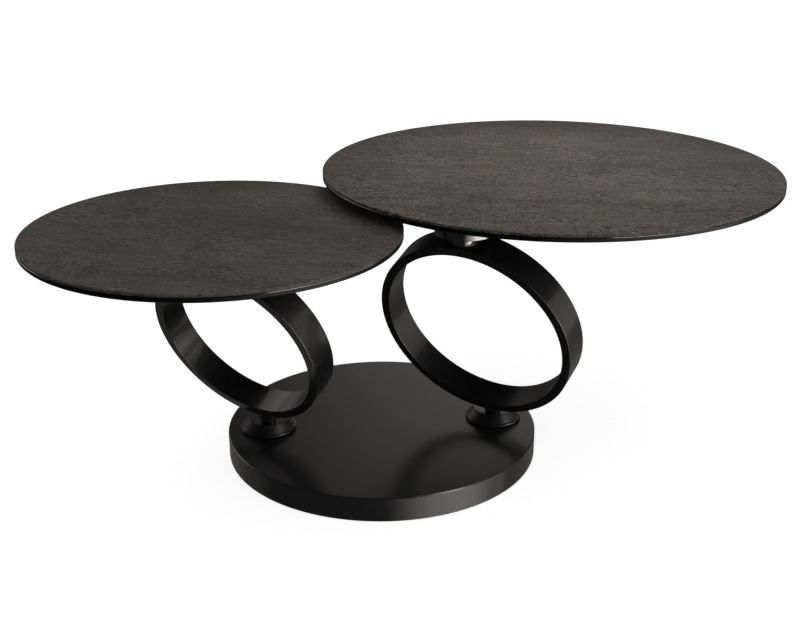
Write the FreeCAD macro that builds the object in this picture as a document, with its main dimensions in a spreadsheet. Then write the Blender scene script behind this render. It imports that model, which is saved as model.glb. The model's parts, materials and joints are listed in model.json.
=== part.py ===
"""Swivel coffee table: a round weighted base, two leaning steel rings and two round tops.

Frame: the origin is the centre of the base on the floor, +Z is up, and +X runs from the
small ring's pivot to the large ring's pivot.  Each ring stands on the base on a vertical
swivel and carries its top on a second vertical swivel, where the ring is highest.
"""

import FreeCAD
import Part
import os
import Sketcher

# ---------------------------------------------------------------------------
# Driving dimensions: millimetres, and degrees where the name says tilt or azimuth.
# ---------------------------------------------------------------------------
SIZES = {
    # base
    "base_radius": 250.0,
    "base_height": 39.0,
    "base_edge_chamfer": 1.6,
    "base_wall": 4.0,
    "top_plate": 6.0,
    "shell_lift": 1.0,
    "pad_thickness": 2.0,
    "pad_inset": 4.0,
    "cover_thickness": 2.0,
    "cover_gap": 1.0,
    "ballast_gap": 2.0,
    "ballast_opening": 42.0,
    "boss_radius": 9.0,
    "boss_length": 9.0,
    "boss_inset": 100.0,
    "boss_azimuth": 30.0,
    "boss_number": 6,
    "plate_bite": 3.0,
    "cover_screw_inset": 35.0,
    "cover_screw_number": 6,
    # swivels
    "pivot_inset": 65.2,
    "small_lower_gap": 40.4,
    "large_lower_gap": 32.4,
    "upper_gap": 38.7,
    "flange_radius": 45.0,
    "flange_rim": 6.0,
    "flange_rim_round": 2.4,
    "flange_step": 3.0,
    "flange_neck_radius": 32.0,
    "flange_height": 18.5,
    "flange_skirt": 8.85,
    "flange_skirt_round": 1.0,
    "flange_screw_offset": 24.5,
    "flange_screw_azimuth": 90.0,
    "flange_screw_number": 3,
    "journal_radius": 10.0,
    "running_clearance": 0.05,
    "bush_wall": 2.0,
    "bush_lip_radius": 17.0,
    "bush_lip": 1.5,
    "bush_stand": 0.5,
    "end_float": 0.2,
    "stem_radius": 13.0,
    "stem_bury": 8.4,
    "thread_radius": 8.0,
    "thread_end": 2.0,
    "washer_radius": 18.0,
    "washer_thickness": 2.5,
    "nut_across_corners": 27.7,
    "nut_thickness": 13.0,
    "hub_radius": 18.0,
    "hub_floor": 1.0,
    "collar_radius": 20.5,
    "collar_thickness": 1.6,
    "pin_head_radius": 14.0,
    "pin_head": 4.0,
    "pin_groove_depth": 1.5,
    "pin_groove_width": 5.0,
    "pin_groove_drop": 4.0,
    "set_screw_radius": 2.0,
    "set_screw_gap": 0.45,
    "set_screw_recess": 1.0,
    "set_screw_azimuth": 75.0,
    "key_notch_radius": 3.0,
    "mount_plate_radius": 36.0,
    "mount_plate_thickness": 6.0,
    # rings
    "ring_wall": 14.0,
    "ring_width": 49.0,
    "ring_edge_chamfer": 0.8,
    "lean_azimuth": -127.0,
    "small_ring_radius": 147.6,
    "small_ring_tilt": 21.5,
    "large_ring_radius": 163.0,
    "large_ring_tilt": 20.4,
    # tops
    "small_top_radius": 275.0,
    "small_top_reach": 0.0,
    "large_top_radius": 375.0,
    "large_top_reach": 283.0,
    "top_azimuth": 51.5,
    "ceramic_thickness": 4.0,
    "glass_thickness": 7.5,
    "ceramic_edge_chamfer": 0.4,
    "glass_edge_chamfer": 1.3,
    # fasteners
    "hole_clearance": 0.3,
    "m8_radius": 4.0,
    "m8_head_radius": 6.5,
    "m8_head": 8.0,
    "m8_socket": 3.5,
    "m8_socket_depth": 4.0,
    "m6_radius": 3.0,
    "m6_head_radius": 5.0,
    "m6_head": 6.0,
    "m6_socket": 2.9,
    "m6_socket_depth": 3.0,
    "m4_radius": 2.0,
    "m4_head_radius": 3.8,
    "m4_length": 10.0,
    "m4_socket": 1.5,
    "m4_socket_depth": 1.6,
    "screw_bite": 9.5,
    "hole_margin": 1.0,
}


def named(name):
    """The sheet cell that holds a driving dimension, as an expression."""
    return "Sizes." + name


def total(*terms):
    """The sum of several expressions."""
    return "(" + " + ".join(terms) + ")"


def less(first, *others):
    """The first expression less all the others."""
    return "(" + first + "".join(" - " + other for other in others) + ")"


def times(factor, term):
    """An expression multiplied by a plain number or another expression."""
    return "({} * {})".format(factor, term)


BASE_TOP = named("base_height")
PLATE_UNDER = less(BASE_TOP, named("top_plate"))
COVER_TOP = total(named("pad_thickness"), named("cover_thickness"))
BALLAST_TOP = less(PLATE_UNDER, named("boss_length"))
BUSH_BORE = total(named("journal_radius"), named("running_clearance"))
BUSH_OUTER = total(BUSH_BORE, named("bush_wall"))
NECK_TOP = total(BASE_TOP, named("flange_height"))
STEM_FOOT = total(NECK_TOP, named("bush_stand"))
CONE_FOOT = less(named("flange_radius"), named("flange_step"))
INSIDE_RADIUS = less(named("base_radius"), named("base_wall"))
PIVOT_OFFSET = less(named("base_radius"), named("pivot_inset"))
BOSS_CIRCLE = less(named("base_radius"), named("boss_inset"))
COVER_SCREW_CIRCLE = less(named("base_radius"), named("cover_screw_inset"))
BOSS_START = named("boss_azimuth")
SCREW_START = named("flange_screw_azimuth")
FULL_TURN = 360.0


# ---------------------------------------------------------------------------
# The document and its helpers
# ---------------------------------------------------------------------------
doc = FreeCAD.newDocument("swivel_table")
sheet = doc.addObject("Spreadsheet::Sheet", "Sizes")
for row, (alias, value) in enumerate(SIZES.items(), start=1):
    cell = "A{}".format(row)
    sheet.set(cell, str(value))
    sheet.setAlias(cell, alias)
doc.recompute()


def value_of(expression):
    """The present value of an expression."""
    return float(sheet.evalExpression(expression))


def origin_feature(body, role):
    """One of the planes or axes of a body's own origin."""
    for feature in body.Origin.OriginFeatures:
        if feature.Role == role:
            return feature
    raise ValueError(role)


def bind(thing, **expressions):
    """Bind properties of an object to expressions; a double underscore stands for a dot."""
    for path, expression in expressions.items():
        thing.setExpression(path.replace("__", "."), expression)
    return thing


def place(thing, at=("0", "0", "0"), yaw=None, pitch=None):
    """Bind an object's position, and its turn about Z and tilt about Y."""
    bind(thing, Placement__Base__x=at[0], Placement__Base__y=at[1], Placement__Base__z=at[2])
    if pitch:
        bind(thing, Placement__Rotation__Pitch=pitch)
    if yaw:
        bind(thing, Placement__Rotation__Yaw=yaw)
    return thing


def polygon_sketch(body, name, role, corners):
    """A closed sketch of straight lines, with both coordinates of every corner bound."""
    sketch = body.newObject("Sketcher::SketchObject", name)
    sketch.AttachmentSupport = [(origin_feature(body, role), "")]
    sketch.MapMode = "FlatFace"
    points = [FreeCAD.Vector(value_of(x), value_of(y), 0) for x, y in corners]
    number = len(points)
    for index, point in enumerate(points):
        sketch.addGeometry(Part.LineSegment(point, points[(index + 1) % number]), False)
    for index in range(number):
        sketch.addConstraint(Sketcher.Constraint("Coincident", index, 2, (index + 1) % number, 1))
    for index, (x, y) in enumerate(corners):
        across = Sketcher.Constraint("DistanceX", -1, 1, index, 1, points[index].x)
        sketch.setExpression("Constraints[{}]".format(sketch.addConstraint(across)), x)
        along = Sketcher.Constraint("DistanceY", -1, 1, index, 1, points[index].y)
        sketch.setExpression("Constraints[{}]".format(sketch.addConstraint(along)), y)
    return sketch


def turned(label, profile, at=("0", "0", "0"), yaw=None, pitch=None):
    """A body turned about its own Z axis from a profile of (radius, height) pairs."""
    body = doc.addObject("PartDesign::Body", label)
    sketch = polygon_sketch(body, label + "_profile", "XZ_Plane", profile)
    turn = body.newObject("PartDesign::Revolution", label + "_turned")
    turn.Profile = sketch
    turn.ReferenceAxis = (sketch, ["V_Axis"])
    turn.Angle = FULL_TURN
    place(body, at, yaw, pitch)
    return body


def round_edges(body, radius, corners):
    """Round the circular edges of a turned body at the given (radius, height) corners."""
    doc.recompute()
    base = body.Tip
    wanted = [(value_of(out), value_of(up)) for out, up in corners]
    names = []
    for index, edge in enumerate(base.Shape.Edges, start=1):
        if not isinstance(edge.Curve, Part.Circle):
            continue
        out, up = edge.Curve.Radius, edge.Curve.Center.z
        if any(abs(out - r) < 1e-6 and abs(up - z) < 1e-6 for r, z in wanted):
            names.append("Edge{}".format(index))
    fillet = body.newObject("PartDesign::Fillet", body.Name + "_rounded")
    fillet.Base = (base, names)
    bind(fillet, Radius=radius)
    return body


def cylinder(name, radius, height, at, yaw=None, pitch=None):
    """A cylinder standing at a place, used to build or cut another piece."""
    solid = doc.addObject("Part::Cylinder", name)
    bind(solid, Radius=radius, Height=height)
    return place(solid, at, yaw, pitch)


def fuse(label, pieces):
    """One solid made of several."""
    joined = doc.addObject("Part::MultiFuse", label)
    joined.Shapes = pieces
    return joined


def cut(label, base, tools):
    """A solid with one or more others taken away."""
    result = doc.addObject("Part::Cut", label)
    result.Base = base
    result.Tool = tools[0] if len(tools) == 1 else fuse(label + "_tools", tools)
    return result


def around(radius, number, index, centre=("0", "0"), start="0"):
    """The place of one of a circle of equally spaced features, as two expressions."""
    angle = "({} + {} * 360 / {})".format(start, index, number)
    x = "({} + {} * cos({}))".format(centre[0], radius, angle)
    y = "({} + {} * sin({}))".format(centre[1], radius, angle)
    return x, y


def hole_circle(name, radius, height, z, circle, number, centre=("0", "0"), start="0"):
    """A circle of equally spaced upright cylinders, for holes or bosses."""
    copies = []
    for index in range(int(value_of(number))):
        x, y = around(circle, number, index, centre, start)
        copies.append(cylinder("{}_{}".format(name, index), radius, height, (x, y, z)))
    return copies


def screw_circle(label, circle, number, outline, socket, at, start="0", flip=False):
    """A circle of equal screws as separate solids, heads at the body's Z = 0.

    The outline gives (radius from the screw's own axis, height) pairs, and the socket is the
    radius to the corners of its hexagon and its depth.
    """
    body = doc.addObject("PartDesign::Body", label)
    corners = [(total(circle, out), up) for out, up in outline]
    sketch = polygon_sketch(body, label + "_profile", "XZ_Plane", corners)
    axis = Part.LineSegment(
        FreeCAD.Vector(value_of(circle), 0, 0),
        FreeCAD.Vector(value_of(circle), 1, 0),
    )
    line = sketch.addGeometry(axis, True)
    sketch.addConstraint(Sketcher.Constraint("Vertical", line))
    sketch.addConstraint(Sketcher.Constraint("Coincident", line, 1, 0, 1))
    sketch.addConstraint(Sketcher.Constraint("DistanceY", line, 1, line, 2, 1.0))
    turn = body.newObject("PartDesign::Revolution", label + "_turned")
    turn.Profile = sketch
    turn.ReferenceAxis = (sketch, ["Axis0"])
    turn.Angle = FULL_TURN
    reach, depth = socket
    hexagon = []
    for index in range(6):
        x, y = around(reach, "6", index, (circle, "0"))
        hexagon.append((x, y))
    recess = polygon_sketch(body, label + "_socket_outline", "XY_Plane", hexagon)
    doc.recompute()
    solid_volume = body.Shape.Volume
    socket_cut = body.newObject("PartDesign::Pocket", label + "_socket")
    socket_cut.Profile = recess
    socket_cut.Reversed = True
    bind(socket_cut, Length=depth)
    doc.recompute()
    if not body.Shape.Volume < solid_volume:
        raise RuntimeError(label + " has no socket")
    pattern = body.newObject("PartDesign::PolarPattern", label + "_circle")
    pattern.Originals = [turn, socket_cut]
    pattern.Axis = (origin_feature(body, "Z_Axis"), [""])
    pattern.Angle = FULL_TURN
    bind(pattern, Occurrences=number)
    body.Tip = pattern
    return place(body, at, yaw=start)


def cap_outline(radius, head_radius, head, length):
    """The half section of a socket cap screw, head first."""
    return [
        ("0", "0"),
        (head_radius, "0"),
        (head_radius, head),
        (radius, head),
        (radius, total(head, length)),
        ("0", total(head, length)),
    ]


# ---------------------------------------------------------------------------
# Base
# ---------------------------------------------------------------------------
class Side:
    """The places that belong to one ring and its top."""

    def __init__(self, name, sign):
        self.name = name
        self.pivot = times(sign, PIVOT_OFFSET)
        self.radius = named(name + "_ring_radius")
        self.tilt = named(name + "_ring_tilt")
        self.ring_low = total(BASE_TOP, named(name + "_lower_gap"))
        azimuth = named("lean_azimuth")
        sideways = "({} * sin({}))".format(self.radius, self.tilt)
        upwards = "({} * cos({}))".format(self.radius, self.tilt)
        self.centre = (
            "({} + {} * cos({}))".format(self.pivot, sideways, azimuth),
            "({} * sin({}))".format(sideways, azimuth),
            total(self.ring_low, upwards),
        )
        self.upper = (
            "({} + 2 * {} * cos({}))".format(self.pivot, sideways, azimuth),
            "(2 * {} * sin({}))".format(sideways, azimuth),
        )
        self.ring_high = total(self.ring_low, upwards, upwards)
        self.glass_under = total(self.ring_high, named("upper_gap"))
        self.neck_under = less(self.glass_under, named("flange_height"))
        self.hub_top = less(self.neck_under, named("bush_lip"), named("bush_stand"))
        reach = named(name + "_top_reach")
        self.top_centre = (
            "({} + {} * cos({}))".format(self.upper[0], reach, named("top_azimuth")),
            "({} + {} * sin({}))".format(self.upper[1], reach, named("top_azimuth")),
        )
        self.top_radius = named(name + "_top_radius")
        self.ring_pitch = less(self.tilt, "90")

    def lower(self, height):
        """A point on the lower swivel axis."""
        return (self.pivot, "0", height)

    def above(self, height):
        """A point on the upper swivel axis."""
        return (self.upper[0], self.upper[1], height)


SIDES = [Side("small", -1), Side("large", 1)]


def base_shell():
    """The drum's top plate and wall in one, with threaded bosses under the plate."""
    radius = named("base_radius")
    chamfer = named("base_edge_chamfer")
    drum = turned("base_drum", [
        ("0", PLATE_UNDER),
        (INSIDE_RADIUS, PLATE_UNDER),
        (INSIDE_RADIUS, named("shell_lift")),
        (radius, named("shell_lift")),
        (radius, less(BASE_TOP, chamfer)),
        (less(radius, chamfer), BASE_TOP),
        ("0", BASE_TOP),
    ])
    bosses = hole_circle("base_boss", named("boss_radius"), named("boss_length"), BALLAST_TOP,
                         BOSS_CIRCLE, named("boss_number"), start=BOSS_START)
    depth = total(named("boss_length"), named("plate_bite"))
    holes = hole_circle("boss_thread", named("m8_radius"), depth, BALLAST_TOP,
                        BOSS_CIRCLE, named("boss_number"), start=BOSS_START)
    for side in SIDES:
        bore = total(BUSH_OUTER, named("hole_clearance"))
        holes.append(cylinder(side.name + "_plate_bore", bore, named("top_plate"),
                              side.lower(PLATE_UNDER)))
        screw_hole = total(named("m6_radius"), named("hole_clearance"))
        holes += hole_circle(side.name + "_plate_hole", screw_hole, named("top_plate"),
                             PLATE_UNDER, named("flange_screw_offset"),
                             named("flange_screw_number"), (side.pivot, "0"), SCREW_START)
    return cut("base_shell", fuse("base_blank", [drum] + bosses), holes)


def ballast_plate():
    """The steel disc that weights the base, hung on the bosses."""
    disc = turned("ballast_disc", [
        ("0", COVER_TOP),
        (less(INSIDE_RADIUS, named("ballast_gap")), COVER_TOP),
        (less(INSIDE_RADIUS, named("ballast_gap")), BALLAST_TOP),
        ("0", BALLAST_TOP),
    ])
    thickness = less(BALLAST_TOP, COVER_TOP)
    holes = [
        cylinder(side.name + "_ballast_opening", named("ballast_opening"), thickness,
                 side.lower(COVER_TOP))
        for side in SIDES
    ]
    circle, number = BOSS_CIRCLE, named("boss_number")
    shank = total(named("m8_radius"), named("hole_clearance"))
    head = total(named("m8_head_radius"), named("hole_clearance"))
    sink = total(named("m8_head"), named("hole_margin"))
    holes += hole_circle("ballast_hole", shank, thickness, COVER_TOP, circle, number,
                         start=BOSS_START)
    holes += hole_circle("ballast_sink", head, sink, COVER_TOP, circle, number, start=BOSS_START)
    holes += hole_circle("cover_thread", named("m4_radius"), named("m4_length"), COVER_TOP,
                         COVER_SCREW_CIRCLE, named("cover_screw_number"),
                         start=BOSS_START)
    return cut("ballast_plate", disc, holes)


def ballast_screws():
    """The screws that hold the ballast up against the bosses."""
    foot = total(COVER_TOP, named("hole_margin"))
    reach = less(PLATE_UNDER, foot, named("m8_head"))
    length = less(total(reach, named("plate_bite")), named("hole_clearance"))
    outline = cap_outline(named("m8_radius"), named("m8_head_radius"), named("m8_head"), length)
    socket = (named("m8_socket"), named("m8_socket_depth"))
    return screw_circle("ballast_screws", BOSS_CIRCLE, named("boss_number"), outline,
                        socket, ("0", "0", foot), start=BOSS_START)


def bottom_cover():
    """The sheet that closes the base underneath."""
    floor = named("pad_thickness")
    edge = less(INSIDE_RADIUS, named("cover_gap"))
    disc = turned("cover_disc", [("0", floor), (edge, floor), (edge, COVER_TOP), ("0", COVER_TOP)])
    sinks = []
    for index in range(int(value_of(named("cover_screw_number")))):
        x, y = around(COVER_SCREW_CIRCLE, named("cover_screw_number"), index,
                      start=BOSS_START)
        sink = doc.addObject("Part::Cone", "cover_sink_{}".format(index))
        bind(sink, Radius1=named("m4_head_radius"), Radius2=named("m4_radius"),
             Height=named("cover_thickness"))
        sinks.append(place(sink, (x, y, floor)))
    return cut("bottom_cover", disc, sinks)


def cover_screws():
    """The countersunk screws that hold the cover to the ballast plate."""
    radius = named("m4_radius")
    sheet_thickness = named("cover_thickness")
    tip = less(total(sheet_thickness, named("m4_length")), named("hole_margin"))
    outline = [
        ("0", "0"),
        (named("m4_head_radius"), "0"),
        (radius, sheet_thickness),
        (radius, tip),
        ("0", tip),
    ]
    socket = (named("m4_socket"), named("m4_socket_depth"))
    return screw_circle("cover_screws", COVER_SCREW_CIRCLE, named("cover_screw_number"),
                        outline, socket, ("0", "0", named("pad_thickness")), start=BOSS_START)


def floor_pad():
    """The rubber disc that the table stands on."""
    edge = less(INSIDE_RADIUS, named("pad_inset"))
    top = named("pad_thickness")
    return turned("floor_pad", [("0", "0"), (edge, "0"), (edge, top), ("0", top)])


# ---------------------------------------------------------------------------
# Lower swivels
# ---------------------------------------------------------------------------
def lower_flange(side):
    """The cone with a rounded rim that a ring's stem turns in."""
    outer = named("flange_radius")
    rim = named("flange_rim")
    height = named("flange_height")
    lip_floor = less(height, less(named("bush_lip"), named("bush_stand")))
    label = side.name + "_lower_flange"
    blank = turned(label + "_blank", [
        (BUSH_OUTER, "0"),
        (outer, "0"),
        (outer, rim),
        (CONE_FOOT, rim),
        (named("flange_neck_radius"), height),
        (named("bush_lip_radius"), height),
        (named("bush_lip_radius"), lip_floor),
        (BUSH_OUTER, lip_floor),
    ], side.lower(BASE_TOP))
    round_edges(blank, named("flange_rim_round"), [(outer, "0"), (outer, rim)])
    depth = total(named("screw_bite"), named("hole_margin"))
    holes = hole_circle(label + "_thread", named("m6_radius"), depth, BASE_TOP,
                        named("flange_screw_offset"), named("flange_screw_number"),
                        (side.pivot, "0"), SCREW_START)
    return cut(label, blank, holes)


def lower_flange_screws(side):
    """The screws that hold a lower flange, from inside the base."""
    length = total(named("top_plate"), named("screw_bite"))
    outline = cap_outline(named("m6_radius"), named("m6_head_radius"), named("m6_head"), length)
    socket = (named("m6_socket"), named("m6_socket_depth"))
    return screw_circle(side.name + "_lower_flange_screws", named("flange_screw_offset"),
                        named("flange_screw_number"), outline, socket,
                        side.lower(less(PLATE_UNDER, named("m6_head"))), start=SCREW_START)


def lower_bush(side):
    """The lipped bush that lines a lower flange and the plate under it."""
    foot = PLATE_UNDER
    lip_top = less(STEM_FOOT, foot)
    lip_under = less(lip_top, named("bush_lip"))
    return turned(side.name + "_lower_bush", [
        (BUSH_BORE, "0"),
        (BUSH_OUTER, "0"),
        (BUSH_OUTER, lip_under),
        (named("bush_lip_radius"), lip_under),
        (named("bush_lip_radius"), lip_top),
        (BUSH_BORE, lip_top),
    ], side.lower(foot))


def on_ring_axis(side, back):
    """A point on a ring's own axis, behind its centre by the given distance."""
    azimuth = named("lean_azimuth")
    return (
        "({} + {} * cos({}) * cos({}))".format(side.centre[0], back, side.tilt, azimuth),
        "({} + {} * cos({}) * sin({}))".format(side.centre[1], back, side.tilt, azimuth),
        "({} - {} * sin({}))".format(side.centre[2], back, side.tilt),
    )


def ring_core(side, use):
    """A solid as wide as the ring's outside, to trim what is welded to the ring."""
    back = named("ring_width")
    return cylinder("{}_{}_core".format(side.name, use), side.radius, times(2, back),
                    on_ring_axis(side, back), named("lean_azimuth"), side.ring_pitch)


def lower_spindle(side):
    """The stem welded under a ring, with the journal and thread below it."""
    nut_stack = total(named("end_float"), named("washer_thickness"), named("nut_thickness"))
    tip = less(PLATE_UNDER, nut_stack, named("thread_end"))
    thread_top = less(less(PLATE_UNDER, named("end_float")), tip)
    shoulder = less(STEM_FOOT, tip)
    deep = total(less(side.ring_low, tip), named("stem_bury"))
    blank = turned(side.name + "_spindle_blank", [
        ("0", "0"),
        (named("thread_radius"), "0"),
        (named("thread_radius"), thread_top),
        (named("journal_radius"), thread_top),
        (named("journal_radius"), shoulder),
        (named("stem_radius"), shoulder),
        (named("stem_radius"), deep),
        ("0", deep),
    ], side.lower(tip))
    return cut(side.name + "_lower_spindle", blank, [ring_core(side, "spindle")])


def thrust_washer(side):
    """The washer that keeps a spindle down, just under the base's top plate."""
    top = less(PLATE_UNDER, named("end_float"))
    thickness = named("washer_thickness")
    return turned(side.name + "_thrust_washer", [
        (named("thread_radius"), "0"),
        (named("washer_radius"), "0"),
        (named("washer_radius"), thickness),
        (named("thread_radius"), thickness),
    ], side.lower(less(top, thickness)))


def lock_nut(side):
    """The hexagon nut under the thrust washer."""
    label = side.name + "_lock_nut"
    under = less(PLATE_UNDER, named("end_float"), named("washer_thickness"), named("nut_thickness"))
    prism = doc.addObject("Part::Prism", label + "_blank")
    prism.Polygon = 6
    bind(prism, Circumradius=times(0.5, named("nut_across_corners")), Height=named("nut_thickness"))
    place(prism, side.lower(under))
    hole = cylinder(label + "_hole", named("thread_radius"), named("nut_thickness"),
                    side.lower(under))
    return cut(label, prism, [hole])


# ---------------------------------------------------------------------------
# Rings and upper swivels
# ---------------------------------------------------------------------------
def ring(side):
    """The flat steel band, turned about its own axis and then leaned over."""
    inner = less(side.radius, named("ring_wall"))
    width = named("ring_width")
    chamfer = named("ring_edge_chamfer")
    return turned(side.name + "_ring", [
        (total(inner, chamfer), "0"),
        (less(side.radius, chamfer), "0"),
        (side.radius, chamfer),
        (side.radius, less(width, chamfer)),
        (less(side.radius, chamfer), width),
        (total(inner, chamfer), width),
        (inner, less(width, chamfer)),
        (inner, chamfer),
    ], on_ring_axis(side, times(0.5, width)), named("lean_azimuth"), side.ring_pitch)


def hub_floor_height(side):
    """The bottom of a hub's bore, clear of the leaning band below it."""
    rise = "({} * tan({}))".format(BUSH_OUTER, side.tilt)
    return total(side.ring_high, rise, named("hub_floor"))


def pin_tip_height(side):
    """The lower end of an upper pin, just off the bottom of the hub's bore."""
    return total(hub_floor_height(side), named("end_float"))


def groove_middle(side):
    """The height of the pin's groove and of the screw that runs in it."""
    return less(side.hub_top, named("pin_groove_drop"), times(0.5, named("pin_groove_width")))


def set_screw_solid(side, name, radius, inner, outer):
    """A level cylinder that points away from the upper swivel axis."""
    azimuth = named("set_screw_azimuth")
    at = (
        "({} + {} * cos({}))".format(side.upper[0], inner, azimuth),
        "({} + {} * sin({}))".format(side.upper[1], inner, azimuth),
        groove_middle(side),
    )
    return cylinder(name, radius, less(outer, inner), at, azimuth, "90")


def upper_hub(side):
    """The hub and collar welded on top of a ring, bored for the upper bush."""
    label = side.name + "_upper_hub"
    depth = named("ring_wall")
    height = total(less(side.hub_top, side.ring_high), depth)
    post = cylinder(label + "_post", named("hub_radius"), height,
                    side.above(less(side.ring_high, depth)))
    seat = named("collar_thickness")
    azimuth = named("lean_azimuth")
    start = less(side.radius, depth)
    collar_at = (
        "({} + {} * sin({}) * cos({}))".format(side.centre[0], start, side.tilt, azimuth),
        "({} + {} * sin({}) * sin({}))".format(side.centre[1], start, side.tilt, azimuth),
        "({} + {} * cos({}))".format(side.centre[2], start, side.tilt),
    )
    collar = cylinder(label + "_collar", named("collar_radius"), total(depth, seat), collar_at,
                      azimuth, side.tilt)
    floor = hub_floor_height(side)
    bore = cylinder(label + "_bore", BUSH_OUTER, total(less(side.hub_top, floor), seat),
                    side.above(floor))
    hole = set_screw_solid(side, label + "_screw_hole", named("set_screw_radius"),
                           named("journal_radius"), times(2, named("hub_radius")))
    return cut(label, fuse(label + "_blank", [post, collar]), [ring_core(side, "hub"), bore, hole])


def upper_bush(side):
    """The lipped bush in a hub, with a window for the set screw."""
    label = side.name + "_upper_bush"
    floor = hub_floor_height(side)
    length = less(side.hub_top, floor)
    lip_top = total(length, named("bush_lip"), named("bush_stand"))
    blank = turned(label + "_blank", [
        (BUSH_BORE, "0"),
        (BUSH_OUTER, "0"),
        (BUSH_OUTER, length),
        (named("bush_lip_radius"), length),
        (named("bush_lip_radius"), lip_top),
        (BUSH_BORE, lip_top),
    ], side.above(floor))
    window = set_screw_solid(side, label + "_window", named("set_screw_radius"), "0",
                             named("hub_radius"))
    return cut(label, blank, [window])


def set_screw(side):
    """The headless screw whose tip keeps the pin from lifting out of the hub."""
    groove_floor = less(named("journal_radius"), named("pin_groove_depth"))
    tip = total(groove_floor, named("set_screw_gap"))
    return set_screw_solid(side, side.name + "_set_screw", named("set_screw_radius"), tip,
                           less(named("hub_radius"), named("set_screw_recess")))


def upper_pin(side):
    """The headed pin that hangs from an upper flange into the hub."""
    tip = pin_tip_height(side)
    head_top = less(less(side.glass_under, named("mount_plate_thickness")), tip)
    head_under = less(head_top, named("pin_head"))
    groove_half = times(0.5, named("pin_groove_width"))
    groove = less(groove_middle(side), tip)
    groove_floor = less(named("journal_radius"), named("pin_groove_depth"))
    return turned(side.name + "_upper_pin", [
        ("0", "0"),
        (named("journal_radius"), "0"),
        (named("journal_radius"), less(groove, groove_half)),
        (groove_floor, less(groove, groove_half)),
        (groove_floor, total(groove, groove_half)),
        (named("journal_radius"), total(groove, groove_half)),
        (named("journal_radius"), head_under),
        (named("pin_head_radius"), head_under),
        (named("pin_head_radius"), head_top),
        ("0", head_top),
    ], side.above(tip))


def upper_flange(side):
    """The deep flange under a top: a skirt round the hub's end below, and a plate seat above."""
    label = side.name + "_upper_flange"
    skirt = named("flange_skirt")
    skirt_inner = named("flange_neck_radius")
    height = total(skirt, named("flange_height"))
    outer = named("flange_radius")
    plate_seat = less(height, named("mount_plate_thickness"))
    head_seat = less(plate_seat, named("pin_head"))
    blank = turned(label + "_blank", [
        (named("journal_radius"), skirt),
        (skirt_inner, skirt),
        (skirt_inner, "0"),
        (outer, "0"),
        (outer, height),
        (named("mount_plate_radius"), height),
        (named("mount_plate_radius"), plate_seat),
        (named("pin_head_radius"), plate_seat),
        (named("pin_head_radius"), head_seat),
        (named("journal_radius"), head_seat),
    ], side.above(less(side.neck_under, skirt)))
    round_edges(blank, named("flange_skirt_round"), [(outer, "0"), (outer, height)])
    shank = total(named("m6_radius"), named("hole_clearance"))
    head = total(named("m6_head_radius"), named("hole_clearance"))
    circle, number = named("flange_screw_offset"), named("flange_screw_number")
    holes = hole_circle(label + "_hole", shank, height, side.neck_under, circle, number,
                        side.upper, SCREW_START)
    holes += hole_circle(label + "_sink", head, named("m6_head"), side.neck_under, circle, number,
                         side.upper, SCREW_START)
    holes.append(set_screw_solid(side, label + "_key_notch", named("key_notch_radius"),
                                 less(skirt_inner, named("hole_margin")),
                                 total(outer, named("hole_margin"))))
    return cut(label, blank, holes)


def upper_flange_screws(side):
    """The screws that hold an upper flange to its mount plate, from below."""
    length = less(named("flange_height"), named("m6_head"), named("hole_margin"))
    outline = cap_outline(named("m6_radius"), named("m6_head_radius"), named("m6_head"), length)
    socket = (named("m6_socket"), named("m6_socket_depth"))
    return screw_circle(side.name + "_upper_flange_screws", named("flange_screw_offset"),
                        named("flange_screw_number"), outline, socket,
                        side.above(side.neck_under), start=SCREW_START)


def mount_plate(side):
    """The steel disc bonded under the glass, tapped for the flange screws."""
    label = side.name + "_mount_plate"
    thickness = named("mount_plate_thickness")
    under = less(side.glass_under, thickness)
    edge = named("mount_plate_radius")
    disc = turned(label + "_blank", [("0", "0"), (edge, "0"), (edge, thickness), ("0", thickness)],
                  side.above(under))
    holes = hole_circle(label + "_thread", named("m6_radius"), thickness, under,
                        named("flange_screw_offset"), named("flange_screw_number"),
                        side.upper, SCREW_START)
    return cut(label, disc, holes)


# ---------------------------------------------------------------------------
# Tops
# ---------------------------------------------------------------------------
def slab(label, side, under, thickness, chamfer):
    """A disc with the same chamfer on both edges."""
    radius = side.top_radius
    return turned(label, [
        ("0", "0"),
        (less(radius, chamfer), "0"),
        (radius, chamfer),
        (radius, less(thickness, chamfer)),
        (less(radius, chamfer), thickness),
        ("0", thickness),
    ], (side.top_centre[0], side.top_centre[1], under), named("top_azimuth"))


def glass_plate(side):
    """The toughened glass plate that carries the ceramic."""
    return slab(side.name + "_glass_plate", side, side.glass_under, named("glass_thickness"),
                named("glass_edge_chamfer"))


def ceramic_top(side):
    """The ceramic slab bonded on the glass."""
    under = total(side.glass_under, named("glass_thickness"))
    return slab(side.name + "_ceramic_top", side, under, named("ceramic_thickness"),
                named("ceramic_edge_chamfer"))


# ---------------------------------------------------------------------------
# Build, check and write
# ---------------------------------------------------------------------------
nodes = [base_shell(), ballast_plate(), ballast_screws()]
nodes += [bottom_cover(), cover_screws(), floor_pad()]
for side in SIDES:
    nodes += [lower_flange(side), lower_flange_screws(side), lower_bush(side)]
    nodes += [ring(side), lower_spindle(side), thrust_washer(side), lock_nut(side)]
    nodes += [upper_hub(side), upper_bush(side), set_screw(side)]
    nodes += [ceramic_top(side), glass_plate(side), mount_plate(side)]
    nodes += [upper_flange(side), upper_pin(side), upper_flange_screws(side)]
doc.recompute()

for thing in doc.Objects:
    if "Invalid" in thing.State or "Error" in thing.State:
        raise RuntimeError("{} failed: {}".format(thing.Label, thing.State))
for node in nodes:
    if node.Shape.isNull() or not node.Shape.isValid():
        raise RuntimeError("{} has no valid shape".format(node.Label))

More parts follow.
